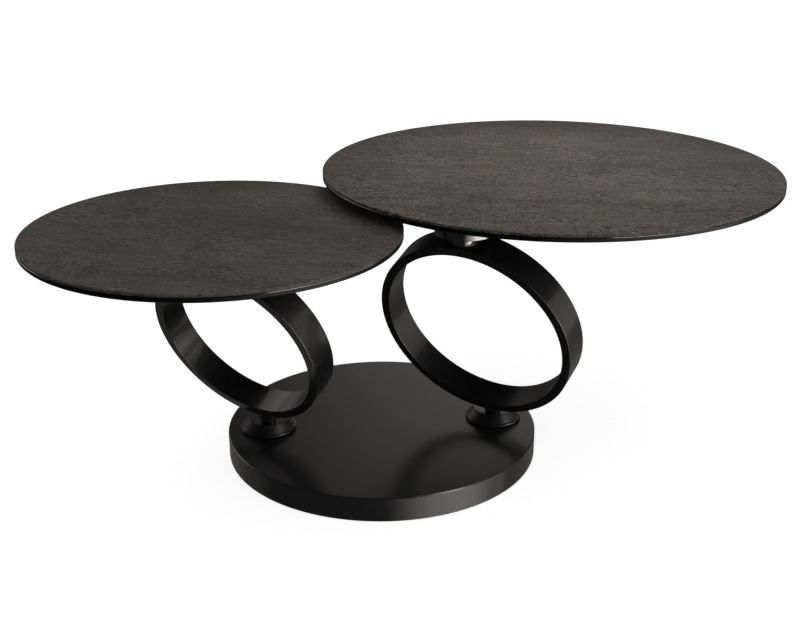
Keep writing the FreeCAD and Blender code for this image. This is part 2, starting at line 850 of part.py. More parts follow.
os.makedirs("parts", exist_ok=True)
for node in nodes:
    node.Shape.exportStep("parts/{}.step".format(node.Label))
    print("{:28s} {:3d} solid(s) {:12.1f} mm3".format(
        node.Label, len(node.Shape.Solids), node.Shape.Volume))
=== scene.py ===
"""Swivel coffee table: fine meshes, finishes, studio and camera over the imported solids.

Laid out as an add-on: the sizes and colours are properties, each group of like pieces has one
operator, and main() runs the operators in order.
"""

import json
import math

import bmesh
import bpy
from bpy.props import FloatProperty, FloatVectorProperty, IntProperty, PointerProperty
from mathutils import Matrix, Vector


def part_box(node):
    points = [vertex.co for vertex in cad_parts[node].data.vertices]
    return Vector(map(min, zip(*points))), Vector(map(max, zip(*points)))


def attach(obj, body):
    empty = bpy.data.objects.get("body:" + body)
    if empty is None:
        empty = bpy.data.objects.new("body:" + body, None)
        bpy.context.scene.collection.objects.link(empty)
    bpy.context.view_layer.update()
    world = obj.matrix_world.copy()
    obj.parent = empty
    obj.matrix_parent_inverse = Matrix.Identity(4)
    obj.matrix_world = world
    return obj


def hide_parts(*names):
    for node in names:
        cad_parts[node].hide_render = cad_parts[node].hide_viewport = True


bl_info = {
    "name": "Swivel Coffee Table",
    "version": (1, 0, 0),
    "blender": (4, 5, 0),
    "location": "3D View > Sidebar > Swivel Table",
    "description": "Builds a two-level swivel coffee table over its packed solids",
    "category": "Object",
}

SIDES = ("small", "large")

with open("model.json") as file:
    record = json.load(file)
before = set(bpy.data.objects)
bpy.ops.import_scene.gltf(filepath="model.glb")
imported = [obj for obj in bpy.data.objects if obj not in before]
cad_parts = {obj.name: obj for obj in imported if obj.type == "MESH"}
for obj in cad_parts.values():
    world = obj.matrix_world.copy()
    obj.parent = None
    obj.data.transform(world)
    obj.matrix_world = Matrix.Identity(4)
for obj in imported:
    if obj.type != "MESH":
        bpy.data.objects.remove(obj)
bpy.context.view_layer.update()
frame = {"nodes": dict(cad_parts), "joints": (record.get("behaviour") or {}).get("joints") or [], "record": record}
JOINTS = {joint["name"]: joint for joint in frame["joints"]}


def half_width(node):
    """Half a CAD node's size along X, which is the radius of a round one."""
    low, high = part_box(node)
    return (high.x - low.x) / 2


# ---------------------------------------------------------------------------
# Sizes and colours that a user would change
# ---------------------------------------------------------------------------
def length(name, description, default):
    """A length in metres."""
    return FloatProperty(name=name, description=description, default=default, min=0.0,
                         precision=5, subtype="DISTANCE", unit="LENGTH")


def colour(name, description, default):
    """A linear RGB colour."""
    return FloatVectorProperty(name=name, description=description, default=default, size=3,
                               min=0.0, max=1.0, subtype="COLOR")


class SwivelTableSizes(bpy.types.PropertyGroup):
    """Sizes of the pieces that are remade with soft edges."""

    base_radius: length("Base radius", "Radius of the round base", half_width("base_shell"))
    base_wall: length("Base wall", "Thickness of the base's wall", 0.004)
    base_plate: length("Base plate", "Thickness of the base's top plate", 0.006)
    base_chamfer: length("Base chamfer", "Chamfer round the base's upper edge", 0.0016)
    ring_wall: length("Ring wall", "Thickness of the ring band", 0.014)
    ring_width: length("Ring width", "Width of the ring band", 0.049)
    ring_edge: length("Ring edge", "Rounding of the band's edges", 0.0009)
    small_ring_radius: length("Small ring radius", "Outer radius of the small ring", 0.1476)
    large_ring_radius: length("Large ring radius", "Outer radius of the large ring", 0.163)
    flange_radius: length("Flange radius", "Radius of a swivel flange's rim", 0.045)
    flange_rim: length("Flange rim", "Thickness of a swivel flange's rim", 0.006)
    flange_rim_round: length("Flange rim rounding", "Rounding of the rim's edges", 0.0024)
    flange_neck: length("Flange neck", "Radius of a flange's narrow face", 0.032)
    flange_height: length("Flange height", "Height of a swivel flange", 0.0185)
    stem_radius: length("Stem radius", "Radius of the stem under a ring", 0.013)
    stem_edge: length("Stem edge", "Rounding of the stem's lower edge", 0.0006)
    hub_radius: length("Hub radius", "Radius of the hub on top of a ring", 0.018)
    collar_radius: length("Collar radius", "Radius of the thin collar at a hub's foot", 0.0205)
    collar_height: length("Collar height", "How far a collar stands off the band", 0.0016)
    small_top_radius: length("Small top radius", "Radius of the lower top",
                             half_width("small_ceramic_top"))
    large_top_radius: length("Large top radius", "Radius of the higher top",
                             half_width("large_ceramic_top"))
    skirt_depth: length("Skirt depth", "How far an upper flange reaches down round its hub",
                        0.00885)
    ceramic_edge: length("Ceramic edge", "Chamfer on the ceramic's edges", 0.0004)
    glass_edge: length("Glass edge", "Polished chamfer on the glass's edges", 0.0013)
    facets: IntProperty(name="Facets", description="Facets round the largest pieces",
                        default=256, min=32, max=512)


class SwivelTableColours(bpy.types.PropertyGroup):
    """Colours of the finishes."""

    paint: colour("Paint", "Satin paint on the base and rings", (0.0135, 0.0132, 0.013))
    gloss: colour("Gloss", "Gloss finish of the flanges and hubs", (0.006, 0.006, 0.006))
    stone_warm: colour("Stone warm", "Warm tone of the ceramic", (0.0775, 0.068, 0.0615))
    stone_cool: colour("Stone cool", "Cool tone of the ceramic", (0.07, 0.0635, 0.0585))
    stone_fleck: colour("Stone fleck", "Dark flecks and pits of the ceramic",
                        (0.02, 0.0175, 0.0165))
    glass: colour("Glass", "Black glass under the ceramic", (0.0025, 0.0025, 0.0028))
    steel: colour("Steel", "Bare steel of the hidden plates", (0.42, 0.42, 0.41))
    zinc: colour("Zinc", "Zinc plating on nuts and washers", (0.6, 0.6, 0.58))


# ---------------------------------------------------------------------------
# Node trees written as expressions
# ---------------------------------------------------------------------------
class Socket:
    """An output socket that takes part in arithmetic: every operator adds its Math node."""

    def __init__(self, net, link):
        self.net = net
        self.link = link

    def __add__(self, other):
        return self.net.maths("ADD", self, other)

    __radd__ = __add__

    def __sub__(self, other):
        return self.net.maths("SUBTRACT", self, other)

    def __rsub__(self, other):
        return self.net.maths("SUBTRACT", other, self)

    def __mul__(self, other):
        return self.net.maths("MULTIPLY", self, other)

    __rmul__ = __mul__

    def __truediv__(self, other):
        return self.net.maths("DIVIDE", self, other)

    def __mod__(self, other):
        return self.net.maths("FLOORED_MODULO", self, other)

    def between(self, low, high):
        """0 at or below low, 1 at or above high, and smooth between them."""
        return self.net.node("ShaderNodeMapRange", {"interpolation_type": "SMOOTHSTEP"},
                             {"Value": self, "From Min": low, "From Max": high})


class Net:
    """A node tree to which nodes are added by name."""

    def __init__(self, tree):
        self.tree = tree

    def node(self, kind, settings=None, values=None, output=None):
        """Adds a node: its settings first, then its sockets' values or links.

        It gives back one output, or one for each name in a tuple of them.
        """
        node = self.tree.nodes.new(kind)
        for name, value in (settings or {}).items():
            setattr(node, name, value)
        for name, value in (values or {}).items():
            socket = self.pick(node.inputs, name)
            if isinstance(value, Socket):
                self.tree.links.new(value.link, socket)
            else:
                socket.default_value = value
        if not len(node.outputs):
            return node
        if isinstance(output, tuple):
            return tuple(Socket(self, self.pick(node.outputs, name)) for name in output)
        return Socket(self, self.pick(node.outputs, output or 0))

    @staticmethod
    def pick(sockets, name):
        """The socket at an index, or the first one in use that has the name."""
        if isinstance(name, int):
            return [socket for socket in sockets if socket.enabled][name]
        return next(socket for socket in sockets if socket.enabled and socket.name == name)

    def maths(self, operation, *terms):
        """One Math node."""
        return self.node("ShaderNodeMath", {"operation": operation}, dict(enumerate(terms)))

    def vector(self, x, y, z):
        """Three numbers as one vector."""
        return self.node("ShaderNodeCombineXYZ", None, {"X": x, "Y": y, "Z": z})


class Finish(Net):
    """A material being made: noises on Object coordinates, and one main shader."""

    def __init__(self, name):
        self.material = bpy.data.materials.new(name)
        self.material.use_nodes = True
        super().__init__(self.material.node_tree)
        self.tree.nodes.clear()
        self.place = self.node("ShaderNodeTexCoord", output="Object")

    def mapped(self, centre=(0, 0, 0), turn=0.0, lengths=(1, 1, 1)):
        """Object coordinates about a centre, in a turned frame that is stretched by lengths."""
        return self.node("ShaderNodeMapping", {"vector_type": "TEXTURE"},
                         {"Vector": self.place, "Location": centre, "Rotation": (0, 0, turn),
                          "Scale": lengths})

    def facing_up(self):
        """How level a face is: 1 when it looks straight up or down, 0 when it is upright."""
        normal = self.node("ShaderNodeNewGeometry", output="Normal")
        return self.maths("ABSOLUTE", self.node("ShaderNodeSeparateXYZ", None,
                                                {"Vector": normal}, output="Z"))

    def height(self):
        """The Z of Object coordinates."""
        return self.node("ShaderNodeSeparateXYZ", None, {"Vector": self.place}, output="Z")

    def noise(self, where, scale, detail=3.0, roughness=0.5, distortion=0.0):
        """Smooth noise, from 0 to 1."""
        return self.node("ShaderNodeTexNoise", {"noise_dimensions": "3D"},
                         {"Vector": where, "Scale": scale, "Detail": detail,
                          "Roughness": roughness, "Distortion": distortion}, output=0)

    def wavering(self, where, scale, amount):
        """A place moved about by noise."""
        push = self.node("ShaderNodeTexNoise", {"noise_dimensions": "3D"},
                         {"Vector": where, "Scale": scale, "Detail": 2.0}, output="Color")
        push = self.node("ShaderNodeVectorMath", {"operation": "SUBTRACT"},
                         {0: push, 1: (0.5, 0.5, 0.5)})
        return self.node("ShaderNodeVectorMath", {"operation": "MULTIPLY_ADD"},
                         {0: push, 1: (amount, amount, amount), 2: where})

    def patch(self, where, centre, reach):
        """A soft-edged oval patch: 1 at its centre, and 0 beyond its reach."""
        near = self.node("ShaderNodeMapping", {"vector_type": "TEXTURE"},
                         {"Vector": where, "Location": centre, "Scale": (*reach, 1.0)})
        far = self.node("ShaderNodeVectorMath", {"operation": "LENGTH"}, {0: near},
                        output="Value")
        return 1 - far.between(0.1, 1.5)

    def mix(self, factor, first, second):
        """A blend of two colours."""
        return self.node("ShaderNodeMix", {"data_type": "RGBA"},
                         {"Factor": factor, "A": opaque(first), "B": opaque(second)})

    def shaded(self, colour_map, factor):
        """A colour made lighter or darker by a number."""
        grey = self.vector(factor, factor, factor)
        return self.node("ShaderNodeMix", {"data_type": "RGBA", "blend_type": "MULTIPLY"},
                         {"Factor": 1.0, "A": opaque(colour_map), "B": grey})

    def bump(self, height, distance):
        """A normal that follows a height; the distance is in metres."""
        return self.node("ShaderNodeBump", None,
                         {"Height": height, "Distance": distance, "Strength": 1.0})

    def done(self, base, roughness, normal=None, **constants):
        """Adds the main shader and the output, and gives the material back."""
        values = {"Base Color": opaque(base), "Roughness": roughness}
        if normal is not None:
            values["Normal"] = normal
        values.update({name.replace("_", " "): value for name, value in constants.items()})
        shader = self.node("ShaderNodeBsdfPrincipled", None, values)
        self.node("ShaderNodeOutputMaterial", None, {"Surface": shader})
        return self.material


def opaque(value):
    """A plain colour with its alpha, or a socket as it is."""
    return value if isinstance(value, Socket) else (*value, 1.0)


# ---------------------------------------------------------------------------
# Finishes
# ---------------------------------------------------------------------------
def satin_paint(colours, level_coat=1.0):
    """Satin black paint under a thin clear lacquer, of which level faces keep a share."""
    net = Finish("satin paint")
    cloud = net.noise(net.place, 9.0, 2.0)
    grain = net.noise(net.place, 900.0, 2.0, 0.6)
    peel = net.noise(net.place, 260.0, 1.0)
    base = net.shaded(colours.paint, 0.85 + 0.3 * cloud)
    rough = 0.2 + 0.05 * cloud + 0.04 * grain
    lacquer = 0.4 * (1 - net.facing_up().between(0.75, 0.95) * (1 - level_coat))
    normal = net.bump(peel * 0.7 + grain * 0.3, 0.000005)
    return net.done(base, rough, normal, Specular_IOR_Level=0.34, Coat_Weight=lacquer,
                    Coat_Roughness=0.05)


def textured_paint(colours):
    """The paint of the base, with no lacquer on its broad top."""
    return satin_paint(colours, 0.0)


def gloss_paint(colours):
    """Deep gloss black lacquer of the turned swivel parts."""
    net = Finish("gloss black")
    cloud = net.noise(net.place, 40.0, 2.0)
    grain = net.noise(net.place, 1200.0, 1.0)
    base = net.shaded(colours.gloss, 0.8 + 0.4 * cloud)
    return net.done(base, 0.1 + 0.05 * cloud, net.bump(grain, 0.000004),
                    Specular_IOR_Level=1.0, Coat_Weight=1.0, Coat_Roughness=0.04)


def semi_gloss_paint(colours):
    """The smoother black paint of the flanges on the base."""
    net = Finish("semi-gloss black")
    cloud = net.noise(net.place, 40.0, 2.0)
    grain = net.noise(net.place, 1000.0, 1.0)
    slope = net.facing_up()
    cone = slope.between(0.5, 0.6) * (1 - slope.between(0.8, 0.9))
    base = net.shaded(colours.gloss, 0.8 + 0.4 * cloud)
    return net.done(base, 0.14 + 0.26 * cone + 0.06 * cloud, net.bump(grain, 0.000004),
                    Specular_IOR_Level=0.4)


# Broad lighter and darker patches on each top: x, y, reach in x and in y, and by how
# much the tone rises or falls there. They are partly the stone's own clouding and partly
# painted light and shade for the light falling off across the tops: the higher top is
# darker toward its back and right edges and lighter at its front left, and the lower top
# is lighter at its left and front and darker at its back and right.
STONE_CLOUDS_AND_PAINTED_LIGHT = {
    "large": (
        (0.45, 0.49, 0.34, 0.11, -0.55), (0.10, 0.47, 0.14, 0.07, -0.35),
        (-0.04, 0.30, 0.10, 0.14, -0.42), (0.64, 0.29, 0.12, 0.20, -0.35),
        (0.29, 0.02, 0.12, 0.06, -0.2), (0.33, -0.16, 0.14, 0.06, -0.15),
        (0.00, -0.11, 0.16, 0.10, 0.4), (0.60, 0.02, 0.14, 0.14, -0.14),
    ),
    "small": (
        (-0.25, 0.18, 0.26, 0.07, -0.4), (-0.18, -0.05, 0.12, 0.07, -0.22),
        (-0.08, -0.17, 0.10, 0.07, -0.15), (-0.46, -0.24, 0.12, 0.09, 0.25),
        (-0.30, -0.34, 0.20, 0.05, 0.12), (-0.38, 0.06, 0.10, 0.07, 0.1),
    ),
}


# Each top's turn of the grain, in radians, its contrast, and how strong its cracks are.
STONE_GRAIN = {"small": (-0.3, 0.75, 0.9), "large": (-0.22, 1.25, 0.35)}
CRACK_TURN = 0.95
# How much darker the slab's side is than its top face: painted shade, as less light falls on the side.
SIDE_PAINTED_SHADE = 0.3


def stone_ceramic(side, node, colours):
    """Dark stone-look ceramic: clouded, with pits, scars and a few cracks.

    It also carries painted light: broad painted light and shade, a painted highlight beside
    each pit, and painted shade on the slab's side.
    """
    net = Finish(side + " stone")
    turn, contrast, cracked = STONE_GRAIN[side]
    low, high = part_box(node)
    centre, top = tuple((low + high) / 2), high.z
    plain = net.mapped(centre, turn)
    along = net.mapped(centre, turn, (2.5, 1.0, 1.0))
    longer = net.mapped(centre, turn, (5.0, 1.0, 1.0))
    cloud = net.noise(along, 7.0, 3.0, 0.6, 0.4)
    streak = net.noise(longer, 60.0, 4.0, 0.7, 0.5)
    mottle = net.noise(along, 60.0, 4.0, 0.7, 1.0)
    grain = net.noise(plain, 230.0, 3.0, 0.85)
    tone = 1 + contrast * ((grain - 0.5) * 5.0 + (mottle - 0.5) * 0.7
                           + (streak - 0.5) * 1.7 + (cloud - 0.5) * 1.8)
    drifted = net.wavering(net.place, 14.0, 0.09)
    # Broad patches of the stone's own clouding, and of painted light and shade across the top.
    for x, y, across, deep, rise in STONE_CLOUDS_AND_PAINTED_LIGHT[side]:
        tone = tone * (1 + net.patch(drifted, (x, y, top), (across, deep)) * rise)
    zone = net.noise(along, 11.0, 3.0, 0.6).between(0.42, 0.6)
    flaked = net.wavering(net.mapped(centre, turn, (1.3, 1.0, 1.0)), 300.0, 0.006)
    # The pits read again a little further along: a painted highlight on the lit lip beside each pit.
    pit_highlight_place = net.node("ShaderNodeVectorMath", {"operation": "ADD"},
                   {0: flaked, 1: (0.0006, 0.0034, 0.0)})
    pit = (net.noise(flaked, 110.0, 2.0, 0.5) + 0.12 * zone).between(0.66, 0.69)
    painted_pit_highlight = (net.noise(pit_highlight_place, 110.0, 2.0, 0.5) + 0.12 * zone).between(0.66, 0.69)
    torn = net.wavering(net.mapped(centre, turn, (1.8, 1.0, 1.0)), 120.0, 0.012)
    scar = (net.noise(torn, 30.0, 4.0, 0.7) + 0.06 * zone).between(0.65, 0.68)
    split = net.mapped(centre, CRACK_TURN, (2.6, 1.0, 1.0))
    ridge = net.maths("ABSOLUTE", net.noise(split, 16.0, 4.0, 0.65) - 0.5)
    stretch = net.noise(split, 9.0, 2.0).between(0.5, 0.56)
    crack = (1 - ridge.between(0.004, 0.018)) * cracked * stretch
    dark = net.maths("MAXIMUM", pit, net.maths("MAXIMUM", scar, crack))
    # 1 on the top face and 0 down the slab's side, which gets painted shade.
    edge = net.height().between(top - 0.0009, top - 0.0004)
    hue = net.noise(plain, 12.0, 3.0, 0.6)
    stone = net.mix(hue.between(0.35, 0.65), colours.stone_warm, colours.stone_cool)
    # The stone's tone with its broad painted light and shade and its painted pit highlights.
    stone_with_painted_light = net.shaded(stone, net.maths("MAXIMUM", tone, 0.25) * (1 + contrast * 0.8 * painted_pit_highlight))
    worn = net.mix(dark * contrast, stone_with_painted_light, colours.stone_fleck)
    # Painted shade: the slab's side below its top face is made darker.
    base = net.shaded(worn, (1 - SIDE_PAINTED_SHADE) + SIDE_PAINTED_SHADE * edge)
    normal = net.bump(grain * 0.5 + (1 - dark) * 0.5, 0.00015)
    return net.done(base, 0.5 + 0.2 * mottle, normal, Specular_IOR_Level=0.35)


def black_glass(colours):
    """Black glass with a ground rim, and with polished chamfers and faces."""
    net = Finish("black glass")
    cloud = net.noise(net.place, 30.0, 2.0)
    fine = net.noise(net.place, 900.0, 2.0)
    base = net.shaded(colours.glass, 0.8 + 0.4 * cloud)
    return net.done(base, 0.3 + 0.1 * fine, Specular_IOR_Level=0.1,
                    Coat_Weight=net.facing_up().between(0.2, 0.45), Coat_Roughness=0.03)


def plain_steel(colours):
    """Cut steel plate with a faint rolled grain."""
    net = Finish("plain steel")
    rolled = net.noise(net.mapped(lengths=(30.0, 1.0, 1.0)), 900.0, 4.0)
    scale = net.noise(net.place, 14.0, 4.0)
    base = net.shaded(colours.steel, 0.7 + 0.3 * rolled + 0.2 * scale)
    return net.done(base, 0.38 + 0.15 * scale, net.bump(rolled, 0.00001), Metallic=1.0)


def turned_steel(colours):
    """Steel turned on a lathe, with fine rings along its height."""
    net = Finish("turned steel")
    rings = net.noise(net.mapped(lengths=(60.0, 60.0, 1.0)), 3000.0, 2.0)
    base = net.shaded(colours.steel, 1.05 + 0.25 * rings)
    return net.done(base, 0.25 + 0.12 * rings, net.bump(rings, 0.000006), Metallic=1.0)


def zinc_plating(colours):
    """Pale zinc plating with a slight bloom."""
    net = Finish("zinc plating")
    bloom = net.noise(net.place, 120.0, 4.0)
    base = net.shaded(colours.zinc, 0.75 + 0.35 * bloom)
    return net.done(base, 0.3 + 0.2 * bloom, net.bump(bloom, 0.000005), Metallic=1.0)


def black_oxide(colours):
    """Blackened steel of the screws."""
    net = Finish("black oxide")
    bloom = net.noise(net.place, 300.0, 3.0)
    base = net.shaded(colours.paint, 1.0 + 1.4 * bloom)
    return net.done(base, 0.35 + 0.2 * bloom, net.bump(bloom, 0.000005), Metallic=0.6)


def bush_plastic(colours):
    """Matt black bearing plastic."""
    net = Finish("bush plastic")
    grain = net.noise(net.place, 700.0, 2.0)
    base = net.shaded(colours.paint, 1.2 + 0.6 * grain)
    return net.done(base, 0.5 + 0.15 * grain, net.bump(grain, 0.00001))


def pad_rubber(colours):
    """Pebbled black rubber under the base."""
    net = Finish("pad rubber")
    pebble = net.noise(net.place, 500.0, 2.0)
    base = net.shaded(colours.paint, 1.3 + 0.9 * pebble)
    return net.done(base, 0.75 + 0.15 * pebble, net.bump(pebble, 0.0001))


FINISHES = {
    "satin_black": satin_paint,
    "textured_black": textured_paint,
    "gloss_black": gloss_paint,
    "semi_gloss": semi_gloss_paint,
    "black_glass": black_glass,
    "plain_steel": plain_steel,
    "turned_steel": turned_steel,
    "zinc_screws": zinc_plating,
    "black_screws": black_oxide,
    "bush_plastic": bush_plastic,
    "pad_rubber": pad_rubber,
}
MADE = {}


def finish(slot):
    """The material of a record slot, made the first time it is asked for."""
    if slot not in MADE:
        MADE[slot] = FINISHES[slot](bpy.context.scene.swivel_table_colours)
    return MADE[slot]


# ---------------------------------------------------------------------------
# Shapes
# ---------------------------------------------------------------------------
# Steps along a corner's arc, also for the thin slabs, and how far past the arc, in roundings,
# the points that keep the straight runs flat lie.
CORNER_STEPS = 4
SLAB_STEPS = 2
SUPPORT = 0.3
ON_AXIS = 1e-9
SAME_POINT = 1e-7

# Facets round the flanges and hubs, and round the stems.
FLANGE_FACETS = 128
STEM_FACETS = 96

# Roundings of corners, in metres: from one that is hardly seen to that of a broad edge.
CERAMIC_SOFT = 0.00015
TIGHT = 0.0002
FINE = 0.0003
SOFT = 0.0005
FULL = 0.0008
BROAD = 0.001

# Radii, depths and gaps that the fits between the pieces set, in metres.
BUSH_BORE = 0.01405
LIP_SEAT, LIP_DEPTH = 0.017, 0.001
RIM_LAND = 0.003
THREAD_RADIUS = 0.008
JOURNAL_RADIUS = 0.010
SHOULDER_GAP = 0.0005
STEM_SINK = 0.001
HUB_SINK = 0.8
COLLAR_SINK = 0.006
PIN_HOLE = 0.010
PIN_HEAD_SEAT, PIN_HEAD_DEPTH = 0.014, 0.010
PLATE_SEAT, PLATE_DEPTH = 0.036, 0.006


def softened(corners, steps=CORNER_STEPS):
    """Rounds an outline of (radius, height, rounding) corners.

    Each rounded corner becomes an arc, with a point on the straight run just before it and
    just after it, so that smooth shading keeps the run flat.
    """
    points = []
    number = len(corners)
    for index, (r, z, rounding) in enumerate(corners):
        here = Vector((r, z))
        before = Vector(corners[index - 1][:2]) - here
        after = Vector(corners[(index + 1) % number][:2]) - here
        if not rounding or r == 0:
            points.append(here)
            continue
        bend = before.angle(after)
        reach = rounding / math.tan(bend / 2)
        start = here + before.normalized() * reach
        end = here + after.normalized() * reach
        middle = here + (before.normalized() + after.normalized()).normalized() * (
            rounding / math.sin(bend / 2))
        points.append(start + before.normalized() * rounding * SUPPORT)
        first, last = (start - middle).normalized(), (end - middle).normalized()
        for step in range(steps + 1):
            points.append(middle + first.slerp(last, step / steps) * rounding)
        points.append(end + after.normalized() * rounding * SUPPORT)
    return points


def turned(outline, facets):
    """A bmesh turned about Z from a closed outline of (radius, height) points."""
    shape = bmesh.new()
    rows = []
    for r, z in outline:
        if r < ON_AXIS:
            rows.append([shape.verts.new((0, 0, z))] * facets)
            continue
        rows.append([shape.verts.new((r * math.cos(turn), r * math.sin(turn), z))
                     for turn in (math.tau * step / facets for step in range(facets))])
    for index, row in enumerate(rows):
        other = rows[(index + 1) % len(rows)]
        for step in range(facets):
            after = (step + 1) % facets
            corners = []
            for vert in (row[step], row[after], other[after], other[step]):
                if vert not in corners:
                    corners.append(vert)
            if len(corners) > 2:
                shape.faces.new(corners)
    bmesh.ops.recalc_face_normals(shape, faces=shape.faces)
    return shape


def to_mesh(name, shapes):
    """One smooth mesh from several (bmesh, place) pairs."""
    whole = bmesh.new()
    for shape, matrix in shapes:
        shape.transform(matrix)
        part = bpy.data.meshes.new(name)
        shape.to_mesh(part)
        shape.free()
        whole.from_mesh(part)
        bpy.data.meshes.remove(part)
    for face in whole.faces:
        face.smooth = True
    mesh = bpy.data.meshes.new(name)
    whole.to_mesh(mesh)
    whole.free()
    return mesh


def add_piece(name, mesh, body, material, nodes):
    """Puts a finished mesh in the scene as a piece that stands for CAD nodes."""
    piece = bpy.data.objects.new(name, mesh)
    bpy.context.scene.collection.objects.link(piece)
    mesh.materials.clear()
    mesh.materials.append(material)
    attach(piece, body)
    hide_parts(*nodes)
    return piece


def at(x, y, z):
    """A place as a matrix."""
    return Matrix.Translation((x, y, z))


def lower_pivot(side):
    """The lower swivel axis of one side, as x and y."""
    return JOINTS[side + "_ring_swivel"]["pos_m"][:2]


def upper_pivot(side):
    """The upper swivel axis of one side, as x and y."""
    return JOINTS[side + "_top_swivel"]["pos_m"][:2]


def ring_place(side):
    """A ring's own frame: Z is its axis, and X points from its centre to its highest point."""
    sizes = bpy.context.scene.swivel_table_sizes
    radius = getattr(sizes, side + "_ring_radius")
    low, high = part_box(side + "_ring")
    foot, head = Vector(lower_pivot(side)), Vector(upper_pivot(side))
    lean = (head - foot) / (2 * radius)
    up = Vector((lean.x, lean.y, math.sqrt(1 - lean.length_squared)))
    sideways = Vector((-lean.y, lean.x, 0)).normalized()
    axis = up.cross(sideways)
    matrix = Matrix((up, sideways, axis)).transposed().to_4x4()
    matrix.translation = (low + high) / 2
    return matrix


# ---------------------------------------------------------------------------
# The ring band as a node tree
# ---------------------------------------------------------------------------
BAND_INPUTS = {
    "Outer Radius": "Float",
    "Wall": "Float",
    "Width": "Float",
    "Edge": "Float",
    "Corner Steps": "Int",
    "Facets": "Int",
    "Material": "Material",
}


def band_tree():
    """A band turned about Z: its rounded section is swept round a circle."""
    tree = bpy.data.node_groups.new("ring band", "GeometryNodeTree")
    for name, kind in BAND_INPUTS.items():
        tree.interface.new_socket(name, in_out="INPUT", socket_type="NodeSocket" + kind)
    tree.interface.new_socket("Geometry", in_out="OUTPUT", socket_type="NodeSocketGeometry")
    net = Net(tree)
    outer, wall, width, edge, steps, facets, material = net.node(
        "NodeGroupInput", output=tuple(BAND_INPUTS))
    per_corner = steps + 3
    index = net.node("GeometryNodeInputIndex")
    corner = net.maths("FLOOR", (index + 0.5) / per_corner)
    step = index % per_corner
    part = net.node("ShaderNodeClamp", None, {"Value": (step - 1) / steps})
    angle = (corner + part) * (math.pi / 2)
    middle = corner * (math.pi / 2) + math.pi / 4
    run = net.maths("MAXIMUM", step - steps - 1, 0) - net.maths("MAXIMUM", 1 - step, 0)
    slide = run * edge * SUPPORT
    cosine, sine = net.maths("COSINE", angle), net.maths("SINE", angle)
    outwards = net.maths("SIGN", net.maths("COSINE", middle))
    upwards = net.maths("SIGN", net.maths("SINE", middle))
    across = outwards * (wall * 0.5 - edge) + cosine * edge - sine * slide
    along_axis = upwards * (width * 0.5 - edge) + sine * edge + cosine * slide
    section = net.node("GeometryNodeCurvePrimitiveCircle", None,
                       {"Resolution": per_corner * 4, "Radius": 1.0})
    section = net.node("GeometryNodeSetPosition", None,
                       {"Geometry": section, "Position": net.vector(across, along_axis, 0.0)})
    path = net.node("GeometryNodeCurvePrimitiveCircle", None,
                    {"Resolution": facets, "Radius": outer - wall * 0.5})
    band = net.node("GeometryNodeCurveToMesh", None, {"Curve": path, "Profile Curve": section})
    band = net.node("GeometryNodeSetShadeSmooth", None, {"Geometry": band, "Shade Smooth": True})
    band = net.node("GeometryNodeRealizeInstances", None, {"Geometry": band})
    band = net.node("GeometryNodeSetMaterial", None, {"Geometry": band, "Material": material})
    net.node("NodeGroupOutput", None, {"Geometry": band})
    return tree


def run_tree(name, tree, values):
    """The plain mesh that a node tree makes from the given inputs."""
    work = bpy.data.objects.new(name, bpy.data.meshes.new(name))
    bpy.context.scene.collection.objects.link(work)
    modifier = work.modifiers.new(name, "NODES")
    modifier.node_group = tree
    for item in tree.interface.items_tree:
        if item.in_out == "INPUT" and item.name in values:
            modifier[item.identifier] = values[item.name]
    graph = bpy.context.evaluated_depsgraph_get()
    mesh = bpy.data.meshes.new_from_object(work.evaluated_get(graph))
    work.modifiers.remove(modifier)
    old = work.data
    bpy.data.objects.remove(work)
    bpy.data.meshes.remove(old)
    shape = bmesh.new()
    shape.from_mesh(mesh)
    bmesh.ops.remove_doubles(shape, verts=shape.verts, dist=SAME_POINT)
    bmesh.ops.recalc_face_normals(shape, faces=shape.faces)
    shape.to_mesh(mesh)
    shape.free()
    return mesh


# ---------------------------------------------------------------------------
# Operators
# ---------------------------------------------------------------------------
class SWIVELTABLE_OT_base_drum(bpy.types.Operator):
    """Make the round base with its chamfered upper edge"""

    bl_idname = "swivel_table.base_drum"
    bl_label = "Base Drum"

    def execute(self, context):
        sizes = context.scene.swivel_table_sizes
        low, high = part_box("base_shell")
        outer, inner = sizes.base_radius, sizes.base_radius - sizes.base_wall
        chamfer = sizes.base_chamfer
        under = high.z - sizes.base_plate
        outline = softened([
            (0, under, 0),
            (inner, under, BROAD),
            (inner, low.z, SOFT),
            (outer, low.z, SOFT),
            (outer, high.z - chamfer, SOFT),
            (outer - chamfer, high.z, SOFT),
            (0, high.z, 0),
        ])
        mesh = to_mesh("base_drum", [(turned(outline, sizes.facets), at(0, 0, 0))])
        add_piece("base_drum", mesh, "base", finish("textured_black"),
                  ["base_shell"])
        return {"FINISHED"}


class SWIVELTABLE_OT_lower_flanges(bpy.types.Operator):
    """Make the two flanges on the base"""

    bl_idname = "swivel_table.lower_flanges"
    bl_label = "Lower Flanges"

    def execute(self, context):
        sizes = context.scene.swivel_table_sizes
        for side in SIDES:
            x, y = lower_pivot(side)
            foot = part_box(side + "_lower_flange")[0].z
            shape = turned(softened(flange_outline(sizes)), FLANGE_FACETS)
            mesh = to_mesh(side + "_flange", [(shape, at(x, y, foot))])
            add_piece(side + "_swivel_flange", mesh, "base",
                      finish("semi_gloss"), [side + "_lower_flange"])
        return {"FINISHED"}


def flange_outline(sizes):
    """A lower flange's half section, standing on its rim."""
    rim, height = sizes.flange_rim, sizes.flange_height
    return [
        (BUSH_BORE, 0, FINE),
        (sizes.flange_radius, 0, sizes.flange_rim_round),
        (sizes.flange_radius, rim, sizes.flange_rim_round),
        (sizes.flange_radius - RIM_LAND, rim, FINE),
        (sizes.flange_neck, height, FULL),
        (LIP_SEAT, height, TIGHT),
        (LIP_SEAT, height - LIP_DEPTH, TIGHT),
        (BUSH_BORE, height - LIP_DEPTH, TIGHT),
    ]


